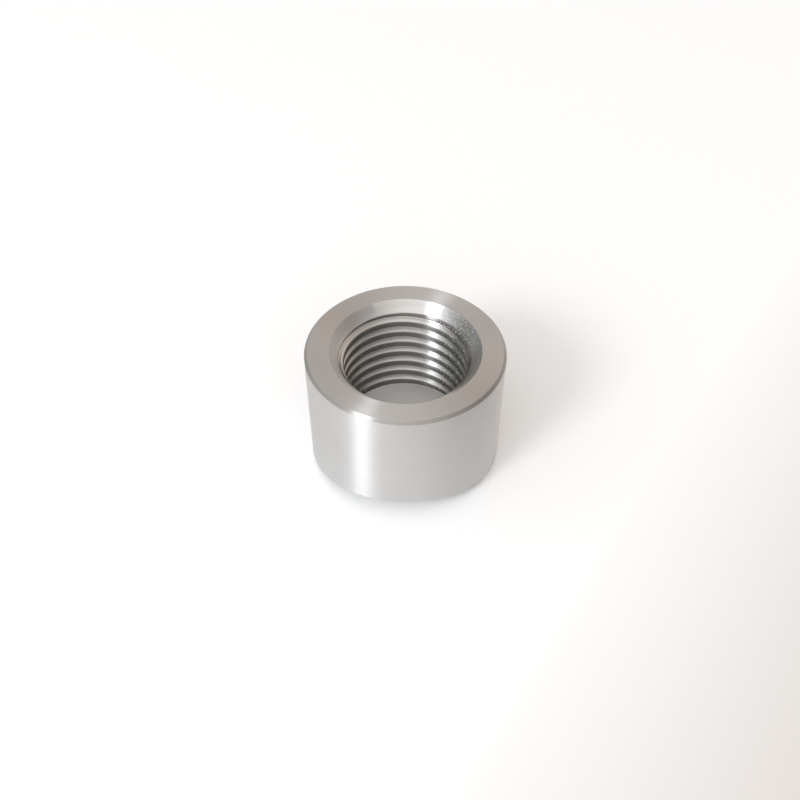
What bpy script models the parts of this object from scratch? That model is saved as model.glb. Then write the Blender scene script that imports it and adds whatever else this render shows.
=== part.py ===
# Weld-on bung for a small oxygen sensor
#
# One turned steel ring: a tapped bore, a countersunk mouth inside the flat face that takes
# the sensor's gasket, and a foot coped to sit on a round exhaust pipe.
#
# The origin is the centre of the foot, on the level of its two lowest points. +Z points up
# out of the mouth, and the pipe that the foot fits lies along Y. Sizes are in metres.

import math

import bmesh
import bpy
from mathutils import Matrix

# Driving sizes
body_height = 0.0120             # top face down to the tips of the foot
wall_thickness = 0.0029          # thread root out to the turned outside
rim_chamfer = 0.00025            # outer edge of the top face
countersink_width = 0.00075      # how far the mouth opens past the thread root, on radius
countersink_angle = math.radians(90.0)
lead_in_width = 0.00008          # the same under the foot, where the cope is highest
lead_in_angle = math.radians(90.0)
pipe_diameter = 0.0508           # outside of the exhaust pipe under the foot

# Thread, right-handed. Its crests are what the tapping drill left.
thread_major_diameter = 0.0120
tapping_drill_diameter = 0.0110
thread_pitch = 0.00125
thread_angle = math.radians(60.0)
thread_start_angle = math.radians(146.0)    # from +X to where the root meets the top face

# How finely round forms are cut into facets
body_segments = 128
pipe_segments = 256
thread_segments = 72             # for each turn

# Room for the cutting tools
pilot_allowance = 0.0005         # the blank's bore is this much under the crests, on radius
cut_overrun = 0.0010             # every cutter passes its surface by this

# What follows from those sizes
thread_major_radius = thread_major_diameter / 2.0
thread_minor_radius = tapping_drill_diameter / 2.0
thread_flank_rise = (thread_major_radius - thread_minor_radius) * math.tan(thread_angle / 2.0)
thread_root_flat = thread_pitch / 8.0
thread_crest_flat = thread_pitch - thread_root_flat - 2.0 * thread_flank_rise
body_radius = thread_major_radius + wall_thickness
mouth_radius = thread_major_radius + countersink_width
pilot_radius = thread_minor_radius - pilot_allowance
pipe_radius = pipe_diameter / 2.0
pipe_axis_height = -math.sqrt(pipe_radius ** 2 - body_radius ** 2)
crown_height = pipe_axis_height + pipe_radius

# Bare turned steel
steel_colour = (0.56, 0.55, 0.53, 1.0)
steel_metallic = 1.0
steel_roughness = 0.38
facet_smoothing_angle = math.radians(25.0)


def clear_scene():
    """Remove the objects that a new file starts with."""
    for existing in list(bpy.data.objects):
        bpy.data.objects.remove(existing, do_unlink=True)


def steel():
    """Bare machined steel, satin from the turning tool."""
    material = bpy.data.materials.new("turned_steel")
    material.use_nodes = True
    shader = material.node_tree.nodes["Principled BSDF"]
    shader.inputs["Base Color"].default_value = steel_colour
    shader.inputs["Metallic"].default_value = steel_metallic
    shader.inputs["Roughness"].default_value = steel_roughness
    material.diffuse_color = steel_colour
    return material


def add_object(name, mesh_builder):
    """Put the bmesh that a builder made into the scene as one named object."""
    bmesh.ops.recalc_face_normals(mesh_builder, faces=mesh_builder.faces)
    mesh = bpy.data.meshes.new(name)
    mesh_builder.to_mesh(mesh)
    mesh_builder.free()
    made = bpy.data.objects.new(name, mesh)
    bpy.context.scene.collection.objects.link(made)
    return made


def turned_ring(name, outline, segments):
    """Revolve a closed outline of (radius, height) points about Z."""
    builder = bmesh.new()
    corners = [builder.verts.new((radius, 0.0, height)) for radius, height in outline]
    count = len(corners)
    edges = [builder.edges.new((corners[i], corners[(i + 1) % count])) for i in range(count)]
    bmesh.ops.spin(
        builder,
        geom=corners + edges,
        axis=(0.0, 0.0, 1.0),
        cent=(0.0, 0.0, 0.0),
        angle=math.tau,
        steps=segments,
        use_merge=True,
    )
    return add_object(name, builder)


def blank():
    """The ring as it leaves the lathe: faced, chamfered, bored and countersunk."""
    countersink_slope = math.tan(countersink_angle / 2.0)
    countersink_floor = body_height - (mouth_radius - pilot_radius) / countersink_slope
    outline = [
        (body_radius - rim_chamfer, body_height),
        (body_radius, body_height - rim_chamfer),
        (body_radius, -cut_overrun),
        (pilot_radius, -cut_overrun),
        (pilot_radius, countersink_floor),
        (mouth_radius, body_height),
    ]
    return turned_ring("weld_bung", outline, body_segments)


def pipe_cutter():
    """The round pipe that the foot is coped to, lying along Y."""
    builder = bmesh.new()
    bmesh.ops.create_cone(
        builder,
        cap_ends=True,
        segments=pipe_segments,
        radius1=pipe_radius,
        radius2=pipe_radius,
        depth=2.0 * (body_radius + cut_overrun),
        matrix=Matrix.Translation((0.0, 0.0, pipe_axis_height)) @ Matrix.Rotation(math.pi / 2.0, 4, "X"),
    )
    return add_object("pipe_cutter", builder)


def lead_in_cutter():
    """A cone from below that opens the thread where it leaves the crown of the cope."""
    slope = math.tan(lead_in_angle / 2.0)
    crown_radius = thread_major_radius + lead_in_width
    foot_radius = crown_radius + (crown_height + cut_overrun) * slope
    cone_height = foot_radius / slope
    builder = bmesh.new()
    bmesh.ops.create_cone(
        builder,
        cap_ends=True,
        segments=body_segments,
        radius1=foot_radius,
        radius2=0.0,
        depth=cone_height,
        matrix=Matrix.Translation((0.0, 0.0, cone_height / 2.0 - cut_overrun)),
    )
    bmesh.ops.remove_doubles(builder, verts=builder.verts, dist=1e-7)
    return add_object("lead_in_cutter", builder)


def thread_tap():
    """The solid that a tap sweeps: one pitch of profile wound up a right-hand helix.

    The upper edge of each turn is the lower edge of the next, so the sides are one closed
    skin, and a fan to a point on the axis closes each end beyond the ring.
    """
    section = [
        (thread_minor_radius, 0.0),
        (thread_minor_radius, thread_crest_flat),
        (thread_major_radius, thread_crest_flat + thread_flank_rise),
        (thread_major_radius, thread_crest_flat + thread_flank_rise + thread_root_flat),
    ]
    root_middle = thread_crest_flat + thread_flank_rise + thread_root_flat / 2.0
    turns_down = math.ceil((body_height + cut_overrun + root_middle) / thread_pitch) + 1
    turns_up = math.ceil((cut_overrun + root_middle) / thread_pitch) + 1
    start_height = body_height - root_middle - turns_down * thread_pitch
    columns = (turns_down + turns_up) * thread_segments

    builder = bmesh.new()

    def point(column, radius, rise):
        angle = thread_start_angle + math.tau * column / thread_segments
        height = start_height + thread_pitch * column / thread_segments + rise
        return builder.verts.new((radius * math.cos(angle), radius * math.sin(angle), height))

    rows = [[point(column, radius, rise) for column in range(columns + 1)] for radius, rise in section]
    last_turn = range(columns + 1, columns + thread_segments + 1)
    rows[0].extend(point(column, *section[0]) for column in last_turn)
    rows.append(rows[0][thread_segments:])

    for lower, upper in zip(rows[:-1], rows[1:]):
        for column in range(columns):
            builder.faces.new((lower[column], lower[column + 1], upper[column + 1], upper[column]))

    end_rise = 2.0 * thread_pitch
    low_point = builder.verts.new((0.0, 0.0, start_height - end_rise))
    low_rim = rows[0][: thread_segments + 1] + [row[0] for row in reversed(rows[1:-1])]
    for i in range(len(low_rim)):
        builder.faces.new((low_rim[i], low_rim[(i + 1) % len(low_rim)], low_point))

    top_height = start_height + thread_pitch * columns / thread_segments
    high_point = builder.verts.new((0.0, 0.0, top_height + end_rise))
    high_rim = rows[0][columns:] + [row[columns] for row in reversed(rows[1:-1])]
    for i in range(len(high_rim)):
        builder.faces.new((high_rim[i], high_rim[(i + 1) % len(high_rim)], high_point))

    bmesh.ops.triangulate(builder, faces=builder.faces)
    return add_object("thread_tap", builder)


def cut(body, cutters):
    """Take the cutters' solids out of the body in one cut and keep them out of the model."""
    tools = bpy.data.collections.new("cutting_tools")
    bpy.context.scene.collection.children.link(tools)
    for cutter in cutters:
        bpy.context.scene.collection.objects.unlink(cutter)
        tools.objects.link(cutter)
        cutter.hide_render = True
        cutter.display_type = "WIRE"
    modifier = body.modifiers.new("coped_and_tapped", "BOOLEAN")
    modifier.operation = "DIFFERENCE"
    modifier.solver = "EXACT"
    modifier.operand_type = "COLLECTION"
    modifier.collection = tools


def weld_bung():
    """The finished ring: turned, coped, eased underneath and tapped."""
    body = blank()
    cut(body, [pipe_cutter(), lead_in_cutter(), thread_tap()])
    body.data.materials.append(steel())
    body.data.shade_smooth()
    body.data.set_sharp_from_angle(angle=facet_smoothing_angle)
    return body


clear_scene()
weld_bung()
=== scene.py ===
import math

import bpy
from mathutils import Matrix, Vector


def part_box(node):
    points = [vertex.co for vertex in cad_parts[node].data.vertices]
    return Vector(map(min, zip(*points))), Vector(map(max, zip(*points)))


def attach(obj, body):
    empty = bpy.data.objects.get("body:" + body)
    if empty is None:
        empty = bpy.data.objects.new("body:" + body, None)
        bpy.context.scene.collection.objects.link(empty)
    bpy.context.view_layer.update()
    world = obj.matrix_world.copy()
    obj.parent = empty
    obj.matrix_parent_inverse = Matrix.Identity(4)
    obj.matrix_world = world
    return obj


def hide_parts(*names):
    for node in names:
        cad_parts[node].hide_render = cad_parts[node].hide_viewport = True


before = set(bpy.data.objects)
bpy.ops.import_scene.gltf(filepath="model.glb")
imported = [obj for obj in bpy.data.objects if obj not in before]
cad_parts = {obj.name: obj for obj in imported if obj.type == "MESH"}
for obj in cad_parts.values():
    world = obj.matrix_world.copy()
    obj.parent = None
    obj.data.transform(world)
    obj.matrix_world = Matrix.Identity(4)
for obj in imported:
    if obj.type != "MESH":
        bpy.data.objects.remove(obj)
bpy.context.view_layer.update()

# Sizes of the bung, in metres, as the solid under it has them
foot_corner, top_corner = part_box("weld_bung")
body_radius = top_corner.x
body_height = top_corner.z
rim_chamfer = 0.00025
countersink_width = 0.00075
countersink_slope = math.tan(math.radians(45.0))
lead_in_width = 0.00008
lead_in_slope = math.tan(math.radians(45.0))
pipe_radius = 0.0254
thread_major_radius = 0.0060
thread_minor_radius = 0.0055
thread_pitch = 0.00125
thread_flank_slope = math.tan(math.radians(30.0))
thread_root_share = 1.0 / 8.0    # the root's flat, as a share of the pitch
thread_start_angle = math.radians(146.0)    # from +X to where the root meets the top face
mouth_radius = thread_major_radius + countersink_width

# How softly the edges are broken
edge_break = 0.00004
thread_edge_break = 0.00007
lip_break = 0.00055              # where the countersink runs out into the thread
foot_margin = 0.00006            # the wall ends this far outside the thread's root
smoothing_angle = math.radians(35.0)

# How finely the surface is divided
columns = 288
rows_per_pitch = 26
merge_distance = 0.0000002

# The photograph's camera, found from the circles of the part
frame_pixels = 800.0
focal_pixels = 934.9
camera_elevation = math.radians(46.08)
camera_azimuth = math.radians(3.17)
camera_distance = 0.08674
target_right = -0.00047
target_height = body_height - 0.00651

# The key light, a round window. Its azimuth runs from the camera's side towards the left.
key_azimuth = math.radians(46.5)
key_elevation = math.radians(35.5)
key_distance = 1.2
key_width = 0.36
key_power = 4.7
key_colour = (0.94, 1.0, 1.06)

# The room round the bung: its even light, then brighter patches of it. Each patch has its
# azimuth from the camera's right towards its heading, its elevation and its colour. These
# colours and the key light's aren't set by hand: a least-squares fit to the brightness of
# the bung and the floor in the photograph gave them, and they are rounded here. The room's
# strength and the key light's power were then set against the photograph.
room_strength = 1.18
room_colour = (0.11, 0.11, 0.11)
patch_tightness = 5.0
room_patches = [
    (45.0, 8.0, (0.43, 0.42, 0.40)),
    (90.0, 8.0, (0.29, 0.27, 0.26)),
    (135.0, 8.0, (0.17, 0.18, 0.18)),
    (180.0, 8.0, (0.50, 0.53, 0.54)),
    (225.0, 8.0, (0.59, 0.58, 0.60)),
    (270.0, 8.0, (0.12, 0.11, 0.10)),
    (45.0, 42.0, (0.08, 0.03, 0.01)),
    (90.0, 42.0, (0.15, 0.12, 0.10)),
    (225.0, 42.0, (0.39, 0.40, 0.42)),
    (270.0, 42.0, (0.58, 0.57, 0.56)),
    (315.0, 42.0, (0.29, 0.29, 0.29)),
    (270.0, 85.0, (0.30, 0.29, 0.26)),
]

# The steel's colours, bare, where it is marked, and where light and shade are painted on it
bare_steel = (0.650, 0.638, 0.626, 1.0)
pale_steel = (0.680, 0.672, 0.664, 1.0)
# Painted sheen on the thread's flanks and painted shade on its crests: the same steel, lit and
# shaded
painted_flank_sheen = (0.78, 0.76, 0.73, 1.0)
painted_crest_shade = (0.27, 0.26, 0.25, 1.0)
# Painted reflection in the mouth at the back
painted_mouth_reflection = (0.82, 0.81, 0.79, 1.0)
# Painted shade on the right side of the mouth and bore
painted_side_shade = (0.20, 0.20, 0.19, 1.0)
# Painted shade along the rim's chamfer
painted_rim_shade = (0.30, 0.28, 0.26, 1.0)
# Painted shade under the lip, where the countersink runs into the thread
painted_lip_shade = (0.18, 0.165, 0.16, 1.0)
# Painted glints on the torn patch and on the nicks
painted_glint = (0.85, 0.84, 0.82, 1.0)

# How much of those colours covers the bare steel
# How much painted reflection lies at the back of the mouth
reflection_cover = 0.8
# How much painted shade lies on the right side, and how much more inside the bore
side_shade_cover = 0.65
side_shade_more_in_bore = 0.2
# How much painted shade covers the rim's chamfer
rim_shade_cover = 0.55
# How much painted glint covers the torn patch's specks and the nicks
glint_cover = 0.8
nick_glint_cover = 0.35

# Where each mark starts and where it is full: radii outwards from the size that they
# follow, and depths down from the top face
face_depth = (0.00005, 0.00002)
rim_reach = (-0.00027, -0.00023)     # from the outside
rim_depth = (0.00029, 0.00024)
mouth_reach = (0.00005, -0.00005)    # from the mouth's edge
bore_reach = (0.00025, 0.00005)      # from the thread's root
lip_reach = (-0.00012, -0.00018)     # from the thread's root
lip_depth = (0.0014, 0.0013)
crest_reach = (0.00011, 0.00004)     # from the thread's crest
thread_depth = (0.0011, 0.0012)
nick_depth = (0.0005, 0.0006)
border_waver = 0.00008

# How strong a noise has to be before it shows, and where it shows in full. How fine it is
# is given per millimetre.
millimetre = 0.001
stain_noise = (0.2, 0.8)
speck_noise = (0.56, 0.64)
nick_noise = (0.80, 0.83)

# The sides that carry a mark: each heading is an angle from +X, and each pair holds the
# cosines off it between which the mark sets in. The torn patch is a real mark; the dark side
# is painted shade and the bright arc a painted reflection.
# Where the painted shade lies on the right side
shaded_heading = math.radians(0.0)
shaded_facing = (0.55, 0.80)
# Where the painted reflection lies in the mouth
reflection_heading = math.radians(90.0)
reflection_facing = (0.860, 0.875)
torn_heading = math.radians(36.0)
torn_facing = (0.86, 0.96)

# How rough the steel is, and how deep its grooves and its torn patch are
steel_roughness = 0.35
roughness_swing = 0.08
face_polish = 0.04
bore_polish = 0.10
crest_drag = 0.14
groove_depth = 0.0000012
tear_depth = 0.000018

# The floor: a sheet of white paper with painted shade that dims and warms it towards the lower
# right
floor_half_width = 1.5
paper_white = (1.0, 1.0, 1.0, 1.0)
paper_for_light = (0.86, 0.86, 0.86, 1.0)
paper_painted_shade = (0.60, 0.545, 0.50, 1.0)
dimming_heading = (0.848, -0.53)
dimming_start = 0.021
dimming_width = 0.038


class Value:
    """A number in a node tree that adds and multiplies like a plain one."""

    def __init__(self, tree, socket):
        self.tree = tree
        self.socket = socket

    def into(self, entry):
        self.tree.links.new(self.socket, entry)

    def combined(self, operation, *others, clamp=False):
        node = self.tree.nodes.new("ShaderNodeMath")
        node.operation = operation
        node.use_clamp = clamp
        for entry, term in zip(node.inputs, (self, *others)):
            feed(self.tree, entry, term)
        return Value(self.tree, node.outputs[0])

    def __add__(self, other):
        return self.combined("ADD", other)

    def __sub__(self, other):
        return self.combined("SUBTRACT", other)

    def __mul__(self, other):
        return self.combined("MULTIPLY", other)

    def __truediv__(self, other):
        return self.combined("DIVIDE", other)

    def __neg__(self):
        return self * -1.0

    __radd__ = __add__

    def __rsub__(self, other):
        return -self + other

    def __rtruediv__(self, other):
        return self.power(-1.0) * other

    def power(self, exponent):
        return self.combined("POWER", exponent)

    def root(self):
        return self.combined("SQRT")

    def sine(self):
        return self.combined("SINE")

    def cosine(self):
        return self.combined("COSINE")

    def rounded(self):
        return self.combined("ROUND")

    def floored(self):
        return self.combined("FLOOR")

    def fraction(self):
        return self.combined("FRACT")

    def size(self):
        return self.combined("ABSOLUTE")

    def at_least(self, other):
        return self.combined("MAXIMUM", other)

    def at_most(self, other):
        return self.combined("MINIMUM", other)

    def softly_at_least(self, other, softness):
        return self.combined("SMOOTH_MAX", other, softness)

    def softly_at_most(self, other, softness):
        return self.combined("SMOOTH_MIN", other, softness)

    def share(self):
        """Held between 0 and 1."""
        return self.combined("ADD", 0.0, clamp=True)


def feed(tree, entry, term):
    """Give a node's input a value, a socket or a plain number."""
    if isinstance(term, Value):
        term.into(entry)
    elif isinstance(term, bpy.types.NodeSocket):
        tree.links.new(term, entry)
    else:
        entry.default_value = term


class Tree:
    """A node tree with short words for adding nodes to it."""

    def __init__(self, tree):
        self.tree = tree

    def node(self, kind, settings=None, **entries):
        made = self.tree.nodes.new(kind)
        for name, value in (settings or {}).items():
            setattr(made, name, value)
        for name, term in entries.items():
            feed(self.tree, made.inputs[name.replace("_", " ")], term)
        return made

    def value(self, socket):
        return Value(self.tree, socket)

    def vector(self, x, y, z):
        return self.node("ShaderNodeCombineXYZ", X=x, Y=y, Z=z).outputs[0]

    def parts(self, vector):
        made = self.node("ShaderNodeSeparateXYZ", Vector=vector)
        return [self.value(made.outputs[axis]) for axis in "XYZ"]


def ring_inputs():
    """The named sizes that the ring's node tree takes."""
    return {
        "Columns": columns,
        "Rows Per Pitch": rows_per_pitch,
        "Body Radius": body_radius,
        "Body Height": body_height,
        "Rim Chamfer": rim_chamfer,
        "Mouth Radius": mouth_radius,
        "Countersink Slope": countersink_slope,
        "Lead-in Slope": lead_in_slope,
        "Lead-in Radius": thread_major_radius + lead_in_width,
        "Pipe Radius": pipe_radius,
        "Thread Major Radius": thread_major_radius,
        "Thread Minor Radius": thread_minor_radius,
        "Thread Pitch": thread_pitch,
        "Thread Flank Slope": thread_flank_slope,
        "Edge Break": edge_break,
        "Thread Edge Break": thread_edge_break,
        "Lip Break": lip_break,
        "Thread Start Angle": thread_start_angle,
    }


def new_ring_tree(inputs):
    """An empty geometry tree with a socket for each named size, and one for the finish."""
    tree = bpy.data.node_groups.new("tapped_ring", "GeometryNodeTree")
    interface = tree.interface
    interface.new_socket("Geometry", in_out="INPUT", socket_type="NodeSocketGeometry")
    for name, size in inputs.items():
        kind = "NodeSocketInt" if isinstance(size, int) else "NodeSocketFloat"
        interface.new_socket(name, in_out="INPUT", socket_type=kind)
    interface.new_socket("Finish", in_out="INPUT", socket_type="NodeSocketMaterial")
    interface.new_socket("Geometry", in_out="OUTPUT", socket_type="NodeSocketGeometry")
    return tree


def swept_grid(t, column_count, row_count, place):
    """A grid wrapped round Z. place(angle, row) gives each point's radius and height."""
    grid = t.node(
        "GeometryNodeMeshGrid",
        Size_X=1.0,
        Size_Y=1.0,
        Vertices_X=column_count + 1,
        Vertices_Y=row_count,
    )
    across, along, _ = t.parts(t.node("GeometryNodeInputPosition").outputs[0])
    angle = (across + 0.5) * math.tau
    row = ((along + 0.5) * (row_count - 1)).rounded()
    radius, height = place(angle, row)
    position = t.vector(radius * angle.cosine(), radius * angle.sine(), height)
    placed = t.node("GeometryNodeSetPosition", Geometry=grid.outputs["Mesh"], Position=position)
    return placed.outputs["Geometry"]


def ring_tree(inputs):
    """The whole bung as three wrapped grids that meet edge to edge.

    The turned grid runs up the outside, over the rim and the flat face and down the
    countersink. The tapped grid lines the bore, with its rows laid along the helix. The
    foot grid runs from the bore over the coped face to the outside.
    """
    tree = new_ring_tree(inputs)
    t = Tree(tree)
    given = t.node("NodeGroupInput").outputs
    size = {name: t.value(given[name]) for name in inputs}

    top_radius = size["Thread Major Radius"] + size["Lip Break"]
    top_drop = (size["Mouth Radius"] - top_radius) / size["Countersink Slope"]
    wall_top = size["Body Height"] - top_drop
    foot_radius = size["Thread Major Radius"] + foot_margin
    pipe_squared = size["Pipe Radius"] * size["Pipe Radius"]
    pipe_axis = -(pipe_squared - size["Body Radius"] * size["Body Radius"]).root()
    crown = pipe_axis + size["Pipe Radius"]
    wall_foot = crown + (size["Lead-in Radius"] - foot_radius) / size["Lead-in Slope"]

    def cope(reach):
        """Height of the pipe's surface at a distance from the plane of its axis."""
        return pipe_axis + (pipe_squared - reach * reach).root()

    def outer_foot(angle):
        """Radius and height where the coped face ends, just inside the outer wall."""
        radius = size["Body Radius"] - size["Edge Break"]
        return radius, cope(radius * angle.cosine())

    # The turned outline, its corners rounded, then read point by point
    corners = [
        t.vector(size["Body Radius"], 0.0, 0.0),
        t.vector(size["Body Radius"], 0.0, size["Body Height"] * 0.5),
        t.vector(size["Body Radius"], 0.0, size["Body Height"] - size["Rim Chamfer"]),
        t.vector(size["Body Radius"] - size["Rim Chamfer"], 0.0, size["Body Height"]),
        t.vector(size["Mouth Radius"], 0.0, size["Body Height"]),
        t.vector(top_radius, 0.0, wall_top),
    ]
    picked = t.node("GeometryNodeIndexSwitch", {"data_type": "VECTOR"})
    while len(picked.index_switch_items) < len(corners):
        picked.index_switch_items.new()
    feed(tree, picked.inputs["Index"], t.node("GeometryNodeInputIndex").outputs[0])
    for i, corner in enumerate(corners):
        feed(tree, picked.inputs[str(i)], corner)
    line = t.node("GeometryNodeMeshLine", Count=len(corners))
    outline = t.node(
        "GeometryNodeSetPosition", Geometry=line.outputs["Mesh"], Position=picked.outputs[0]
    )
    outline = t.node("GeometryNodeMeshToCurve", Mesh=outline.outputs["Geometry"])
    outline = t.node(
        "GeometryNodeFilletCurve",
        {"mode": "POLY"},
        Curve=outline.outputs["Curve"],
        Count=4,
        Radius=size["Edge Break"] * 1.5,
    )
    outline_points = t.node(
        "GeometryNodeAttributeDomainSize",
        {"component": "CURVE"},
        Geometry=outline.outputs["Curve"],
    )
    outline_count = t.value(outline_points.outputs["Point Count"])

    def turned(angle, row):
        sample = t.node(
            "GeometryNodeSampleIndex",
            {"data_type": "FLOAT_VECTOR", "domain": "POINT"},
            Geometry=outline.outputs["Curve"],
            Index=row,
        )
        feed(tree, sample.inputs["Value"], t.node("GeometryNodeInputPosition").outputs[0])
        radius, _, height = t.parts(sample.outputs[0])
        foot_height = outer_foot(angle)[1] + size["Edge Break"]
        return radius, height.at_least(foot_height)

    # The tapped wall
    pitch = size["Thread Pitch"]
    spare_turns = 3.0    # they lie past the wall and are held flat against its ends
    turns = ((wall_top - wall_foot) / pitch).combined("CEIL") + spare_turns
    root_half = thread_root_share / 2.0
    crowding = t.node("ShaderNodeFloatCurve")
    shape_row_spacing(crowding)

    def tapped(angle, row):
        turn = (row / size["Rows Per Pitch"]).floored()
        feed(tree, crowding.inputs["Value"], row / size["Rows Per Pitch"] - turn)
        rise = turn + crowding.outputs[0]
        climb = (angle - size["Thread Start Angle"]) / math.tau
        start = ((wall_foot - size["Body Height"]) / pitch).floored() - 1.0
        height = size["Body Height"] + pitch * (start + climb + rise)
        height = height.at_least(wall_foot).at_most(wall_top)
        phase = ((height - size["Body Height"]) / pitch - climb + 0.5).fraction() - 0.5
        flank_width = (phase.size() - root_half) * pitch
        flank = size["Thread Major Radius"] - flank_width / size["Thread Flank Slope"]
        profile = flank.softly_at_most(size["Thread Major Radius"], size["Thread Edge Break"])
        profile = profile.softly_at_least(size["Thread Minor Radius"], size["Thread Edge Break"])
        depth = size["Body Height"] - height
        mouth_cone = size["Mouth Radius"] - depth * size["Countersink Slope"]
        foot_cone = size["Lead-in Radius"] - (height - crown) * size["Lead-in Slope"]
        radius = profile.softly_at_least(mouth_cone, size["Lip Break"])
        return radius.softly_at_least(foot_cone, size["Edge Break"]), height

    # The foot
    cone_rows = 4
    face_rows = 12
    edge_rows = 4

    def coped(angle, row):
        down = (row / cone_rows).share()
        out = ((row - cone_rows) / face_rows).share()
        up = ((row - cone_rows - face_rows) / edge_rows).share() * (math.pi / 2.0)
        inner = inner_foot_radius(angle.cosine())
        outer = outer_foot(angle)[0]
        face_radius = inner + (outer - inner) * out
        radius = foot_radius + (face_radius - foot_radius) * down + size["Edge Break"] * up.sine()
        face_height = cope(face_radius * angle.cosine())
        edge_rise = size["Edge Break"] * (1.0 - up.cosine())
        height = wall_foot + (face_height - wall_foot) * down + edge_rise
        return radius, height

    def inner_foot_radius(cosine):
        """Where the lead-in cone meets the pipe: the lesser root of a quadratic."""
        slope = size["Lead-in Slope"]
        cone_top = wall_foot - pipe_axis + foot_radius / slope
        square = 1.0 / (slope * slope) + cosine * cosine
        linear = cone_top / slope
        rest = cone_top * cone_top - pipe_squared
        return (linear - (linear * linear - square * rest).root()) / square

    column_count = size["Columns"]
    turned_grid = swept_grid(t, column_count, outline_count, turned)
    tapped_grid = swept_grid(t, column_count, turns * size["Rows Per Pitch"] + 1, tapped)
    tapped_grid = t.node("GeometryNodeFlipFaces", Mesh=tapped_grid).outputs["Mesh"]
    foot_grid = swept_grid(t, column_count, cone_rows + face_rows + edge_rows + 1, coped)

    joined = t.node("GeometryNodeJoinGeometry")
    for part in (turned_grid, tapped_grid, foot_grid):
        tree.links.new(part, joined.inputs["Geometry"])
    merged = t.node(
        "GeometryNodeMergeByDistance",
        Geometry=joined.outputs["Geometry"],
        Distance=merge_distance,
    )
    realized = t.node("GeometryNodeRealizeInstances", Geometry=merged.outputs["Geometry"])
    finished = t.node("GeometryNodeSetMaterial", Geometry=realized.outputs["Geometry"])
    feed(tree, finished.inputs["Material"], given["Finish"])
    result = t.node("NodeGroupOutput")
    feed(tree, result.inputs["Geometry"], finished.outputs["Geometry"])
    return tree


def shape_row_spacing(crowding):
    """Rows crowd where the thread's profile turns a corner and spread along its flats.

    The share of a pitch starts at the middle of a root. The corners lie where the root
    meets a flank and where a flank meets the crest.
    """
    flank_share = (thread_major_radius - thread_minor_radius) * thread_flank_slope / thread_pitch
    first_corner = thread_root_share / 2.0
    second_corner = first_corner + flank_share
    corners = [first_corner, second_corner, 1.0 - second_corner, 1.0 - first_corner]
    half_width = 0.035
    corner_rows = 0.13
    flat_rows = [0.04, 0.16, 0.08, 0.16, 0.04]
    curve = crowding.mapping.curves[0]
    steps = [(0.0, 0.0)]
    along = 0.0
    for corner, flat in zip(corners, flat_rows):
        along += flat
        steps.append((along, corner - half_width))
        along += corner_rows
        steps.append((along, corner + half_width))
    steps.append((1.0, 1.0))
    while len(curve.points) < len(steps):
        curve.points.new(0.5, 0.5)
    for point, (x, y) in zip(curve.points, steps):
        point.location = (x, y)
        point.handle_type = "VECTOR"
    crowding.mapping.update()


def plain_mesh(holder, name):
    """Turn the evaluated holder into an object with a mesh of its own."""
    graph = bpy.context.evaluated_depsgraph_get()
    mesh = bpy.data.meshes.new_from_object(holder.evaluated_get(graph))
    bpy.data.objects.remove(holder, do_unlink=True)
    mesh.name = name
    made = bpy.data.objects.new(name, mesh)
    bpy.context.scene.collection.objects.link(made)
    return made


def turned_bung(finish):
    """The bung itself, made by the ring's node tree from the sizes above."""
    inputs = ring_inputs()
    tree = ring_tree(inputs)
    holder = bpy.data.objects.new("bung_holder", bpy.data.meshes.new("bung_holder"))
    bpy.context.scene.collection.objects.link(holder)
    modifier = holder.modifiers.new("tapped_ring", "NODES")
    modifier.node_group = tree
    for item in tree.interface.items_tree:
        if item.in_out == "INPUT" and item.name in inputs:
            modifier[item.identifier] = inputs[item.name]
        elif item.in_out == "INPUT" and item.name == "Finish":
            modifier[item.identifier] = finish
    bung = plain_mesh(holder, "turned_bung")
    bung.data.shade_smooth()
    bung.data.set_sharp_from_angle(angle=smoothing_angle)
    return bung


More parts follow.
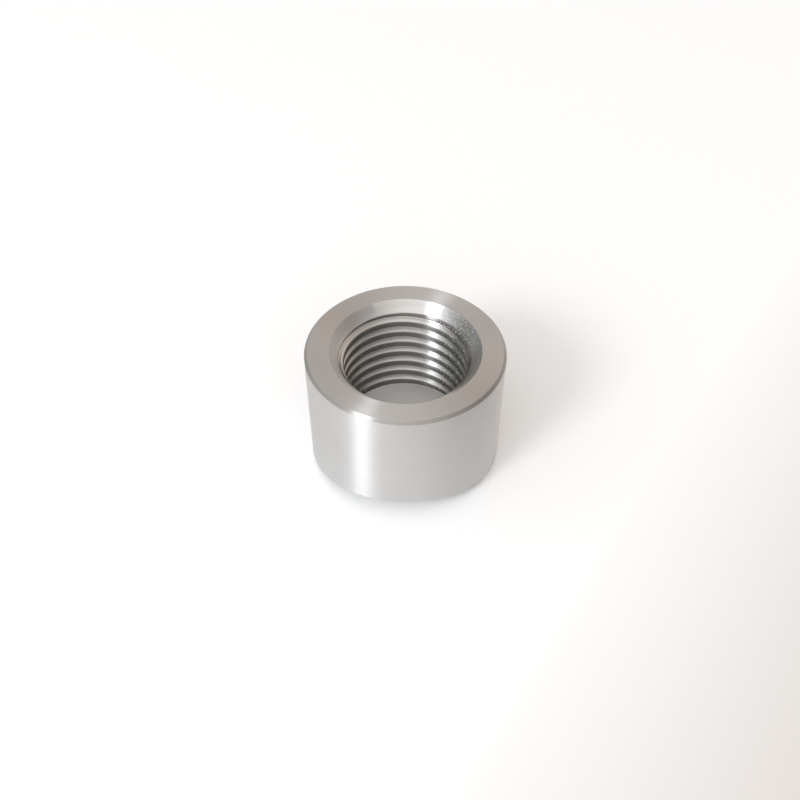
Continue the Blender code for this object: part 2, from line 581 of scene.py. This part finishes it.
def turned_steel():
    """Bare steel as the lathe tool and the tap leave it: satin, with fine rings round it.

    The thread's flanks carry a painted sheen and its crests painted shade. The mouth has a
    painted reflection at the back, and painted shade and a torn patch with painted glints on its
    right. The rim and lip carry painted shade.
    """
    material = bpy.data.materials.new("turned_steel")
    material.use_nodes = True
    t = Tree(material.node_tree)
    place = t.node("ShaderNodeTexCoord").outputs["Object"]
    x, y, z = t.parts(place)
    radius = (x * x + y * y).root()
    path = z + radius * 0.6    # climbs the walls, and more slowly crosses the faces

    def rings(around, per_millimetre):
        """Noise drawn out along the grooves: a few round the axis, many along the path."""
        along = path * (per_millimetre / millimetre)
        spot = t.vector(x / radius * around, y / radius * around, along)
        made = t.node("ShaderNodeTexNoise", Vector=spot, Scale=1.0, Detail=2.0)
        return t.value(made.outputs["Fac"])

    def smudges(per_millimetre, detail=2.0):
        """Noise that is even in all directions."""
        scale = per_millimetre / millimetre
        made = t.node("ShaderNodeTexNoise", Vector=place, Scale=scale, Detail=detail)
        return t.value(made.outputs["Fac"])

    def beyond(value, start, end):
        """0 up to the start and 1 from the end on; the end may be the smaller."""
        return ((value - start) / (end - start)).share()

    def near(value, border, reach):
        """The same, with its two ends given from a border."""
        return beyond(value, border + reach[0], border + reach[1])

    def below(value, depth):
        """The same, with its two ends given as depths under the top face."""
        return beyond(value, body_height - depth[0], body_height - depth[1])

    def facing(heading, ends):
        """1 on the side that the heading points to, with its two ends given as cosines."""
        turned = (x * math.cos(heading) + y * math.sin(heading)) / radius
        return beyond(turned, *ends)

    def tinted(base, share, colour):
        """The base colour with a share of another laid over it."""
        made = t.node("ShaderNodeMix", {"data_type": "RGBA"}, Factor=share)
        for entry, term in ((made.inputs[6], base), (made.inputs[7], colour)):
            feed(material.node_tree, entry, term)
        return made.outputs[2]

    waver = smudges(0.5) * border_waver - border_waver / 2.0
    flat_face = below(z, face_depth)
    # Where the rim's painted shade lies: the chamfer round the top
    rim = near(radius + waver, body_radius, rim_reach) * below(z + waver, rim_depth)
    mouth = near(radius, mouth_radius, mouth_reach)
    bore = near(radius, thread_major_radius, bore_reach)
    threaded = below(z, thread_depth)
    # The crest and flank bands carry painted shade and painted sheen; the crests' extra roughness
    # is real
    crests = near(radius, thread_minor_radius, crest_reach) * threaded
    flanks = bore * (1.0 - crests) * threaded
    # Where the lip's painted shade lies, under the countersink's end
    lip = near(radius + waver, thread_major_radius, lip_reach) * below(z, lip_depth)
    # Where the painted shade lies: the right side of the mouth and bore
    shaded_side = facing(shaded_heading, shaded_facing) * mouth
    # Where the painted reflection lies: the back of the mouth, above the bore
    reflection_arc = facing(reflection_heading, reflection_facing) * mouth * (1.0 - bore)
    torn_patch = facing(torn_heading, torn_facing) * mouth

    fine = rings(around=2.0, per_millimetre=12.0)
    broad = rings(around=1.2, per_millimetre=2.2)
    stain = smudges(per_millimetre=0.35)
    grit = smudges(per_millimetre=6.5, detail=3.0)
    specks = beyond(grit, *speck_noise)
    nicks = beyond(smudges(per_millimetre=1.9, detail=0.0), *nick_noise)
    nicks = nicks * beyond(body_height - z, *nick_depth) * (1.0 - bore)

    colour = tinted(bare_steel, beyond(stain, *stain_noise), pale_steel)
    # Painted sheen on the flanks, then painted shade on the crests
    colour = tinted(colour, flanks, painted_flank_sheen)
    colour = tinted(colour, crests, painted_crest_shade)
    # Painted reflection at the back of the mouth
    colour = tinted(colour, reflection_arc * reflection_cover, painted_mouth_reflection)
    # Painted shade on the right side, deeper in the bore
    colour = tinted(colour, shaded_side * (bore * side_shade_more_in_bore + side_shade_cover), painted_side_shade)
    # Painted shade along the rim's chamfer
    colour = tinted(colour, rim * rim_shade_cover, painted_rim_shade)
    # Painted shade under the lip
    colour = tinted(colour, lip, painted_lip_shade)
    # Painted glints on the specks of the real torn patch
    colour = tinted(colour, torn_patch * specks * glint_cover, painted_glint)
    # Painted glints on the real nicks
    colour = tinted(colour, nicks * nick_glint_cover, painted_glint)

    around = t.node(
        "ShaderNodeVectorTransform",
        {"vector_type": "VECTOR", "convert_from": "OBJECT", "convert_to": "WORLD"},
        Vector=t.vector(-y / radius, x / radius, 0.0),
    )
    grooves = t.node("ShaderNodeBump", Strength=1.0, Distance=groove_depth, Height=fine)
    tears = t.node("ShaderNodeBump", Strength=1.0, Distance=tear_depth, Height=grit * torn_patch)
    feed(material.node_tree, tears.inputs["Normal"], grooves.outputs["Normal"])

    shader = material.node_tree.nodes["Principled BSDF"]
    roughness = steel_roughness + broad * roughness_swing
    roughness = roughness - flat_face * face_polish - bore * bore_polish + crests * crest_drag
    feed(material.node_tree, shader.inputs["Base Color"], colour)
    feed(material.node_tree, shader.inputs["Roughness"], roughness)
    feed(material.node_tree, shader.inputs["Tangent"], around.outputs["Vector"])
    feed(material.node_tree, shader.inputs["Normal"], tears.outputs["Normal"])
    shader.inputs["Metallic"].default_value = 1.0
    shader.inputs["Anisotropic"].default_value = 1.0
    shader.inputs["Anisotropic Rotation"].default_value = 0.25
    return material


def pale_floor():
    """A wide sheet of white paper under the bung, with painted shade towards the lower right."""
    half = floor_half_width
    mesh = bpy.data.meshes.new("paper_floor")
    corners = [(-half, -half, 0.0), (half, -half, 0.0), (half, half, 0.0), (-half, half, 0.0)]
    mesh.from_pydata(corners, [], [(0, 1, 2, 3)])
    floor = bpy.data.objects.new("paper_floor", mesh)
    bpy.context.scene.collection.objects.link(floor)
    material = bpy.data.materials.new("white_paper")
    material.use_nodes = True
    t = Tree(material.node_tree)
    shader = material.node_tree.nodes["Principled BSDF"]
    paths = t.node("ShaderNodeLightPath")
    seen = t.value(paths.outputs["Is Camera Ray"]) + t.value(paths.outputs["Is Glossy Ray"])
    seen = seen + t.value(paths.outputs["Is Transmission Ray"])
    x, y, _ = t.parts(t.node("ShaderNodeTexCoord").outputs["Object"])
    # Painted shade: the paper darkens and warms towards the lower right
    out = x * dimming_heading[0] + y * dimming_heading[1]
    dimmed = ((out - dimming_start) / dimming_width).share()
    shade = t.node("ShaderNodeMix", {"data_type": "RGBA"}, Factor=dimmed)
    shade.inputs[6].default_value = paper_white
    shade.inputs[7].default_value = paper_painted_shade
    sheet = t.node("ShaderNodeMix", {"data_type": "RGBA"}, Factor=seen.share())
    sheet.inputs[6].default_value = paper_for_light
    feed(material.node_tree, sheet.inputs[7], shade.outputs[2])
    feed(material.node_tree, shader.inputs["Base Color"], sheet.outputs[2])
    shader.inputs["Roughness"].default_value = 0.9
    shader.inputs["Specular IOR Level"].default_value = 0.1
    mesh.materials.append(material)


def from_camera_frame(right, forward, up):
    """A point given across, along and above the camera's heading, in the part's frame."""
    turn = Matrix.Rotation(camera_azimuth, 3, "Z")
    return turn @ Vector((right, forward, up))


def key_light():
    """One soft round window, in front and to the left."""
    towards = from_camera_frame(
        -math.cos(key_elevation) * math.sin(key_azimuth),
        -math.cos(key_elevation) * math.cos(key_azimuth),
        math.sin(key_elevation),
    )
    lamp = bpy.data.lights.new("window", "AREA")
    lamp.shape = "DISK"
    lamp.size = key_width
    lamp.energy = key_power
    lamp.color = key_colour
    made = bpy.data.objects.new("window", lamp)
    made.location = towards * key_distance
    made.rotation_mode = "QUATERNION"
    made.rotation_quaternion = towards.to_track_quat("Z", "Y")
    bpy.context.scene.collection.objects.link(made)


def studio_world():
    """A pale room, brightest behind the camera and to its left."""
    world = bpy.data.worlds.new("pale_room")
    bpy.context.scene.world = world
    world.use_nodes = True
    t = Tree(world.node_tree)
    towards = t.node("ShaderNodeTexCoord").outputs["Generated"]

    def arithmetic(operation, first, second):
        made = t.node("ShaderNodeVectorMath", {"operation": operation})
        feed(world.node_tree, made.inputs[0], first)
        feed(world.node_tree, made.inputs[1], second)
        return made.outputs["Vector"]

    def glow(azimuth, elevation, colour):
        """A soft patch of light round one direction."""
        aim = from_camera_frame(
            math.cos(elevation) * math.cos(azimuth),
            math.cos(elevation) * math.sin(azimuth),
            math.sin(elevation),
        )
        lean = t.node("ShaderNodeVectorMath", {"operation": "DOT_PRODUCT"})
        feed(world.node_tree, lean.inputs[0], towards)
        lean.inputs[1].default_value = aim
        close = (t.value(lean.outputs["Value"]) - 1.0) * patch_tightness
        share = close.combined("EXPONENT")
        return arithmetic("MULTIPLY", t.vector(share, share, share), colour)

    light = t.vector(*room_colour)
    for azimuth, elevation, colour in room_patches:
        patch = glow(math.radians(azimuth), math.radians(elevation), colour)
        light = arithmetic("ADD", light, patch)
    background = world.node_tree.nodes["Background"]
    feed(world.node_tree, background.inputs["Color"], light)
    background.inputs["Strength"].default_value = room_strength


def photo_camera():
    """The camera at the photograph's place."""
    camera = bpy.data.cameras.new("photo_camera")
    camera.sensor_width = 36.0
    camera.lens = focal_pixels / frame_pixels * camera.sensor_width
    camera.clip_start = 0.005
    camera.clip_end = 20.0
    made = bpy.data.objects.new("photo_camera", camera)
    back = from_camera_frame(0.0, -math.cos(camera_elevation), math.sin(camera_elevation))
    target = from_camera_frame(target_right, 0.0, target_height)
    made.location = target + back * camera_distance
    made.rotation_mode = "QUATERNION"
    made.rotation_quaternion = back.to_track_quat("Z", "Y")
    bpy.context.scene.collection.objects.link(made)
    bpy.context.scene.camera = made


bpy.context.scene.view_settings.view_transform = "Standard"
photo_camera()
pale_floor()
studio_world()
key_light()

bung = turned_bung(turned_steel())
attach(bung, "root")
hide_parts("weld_bung")
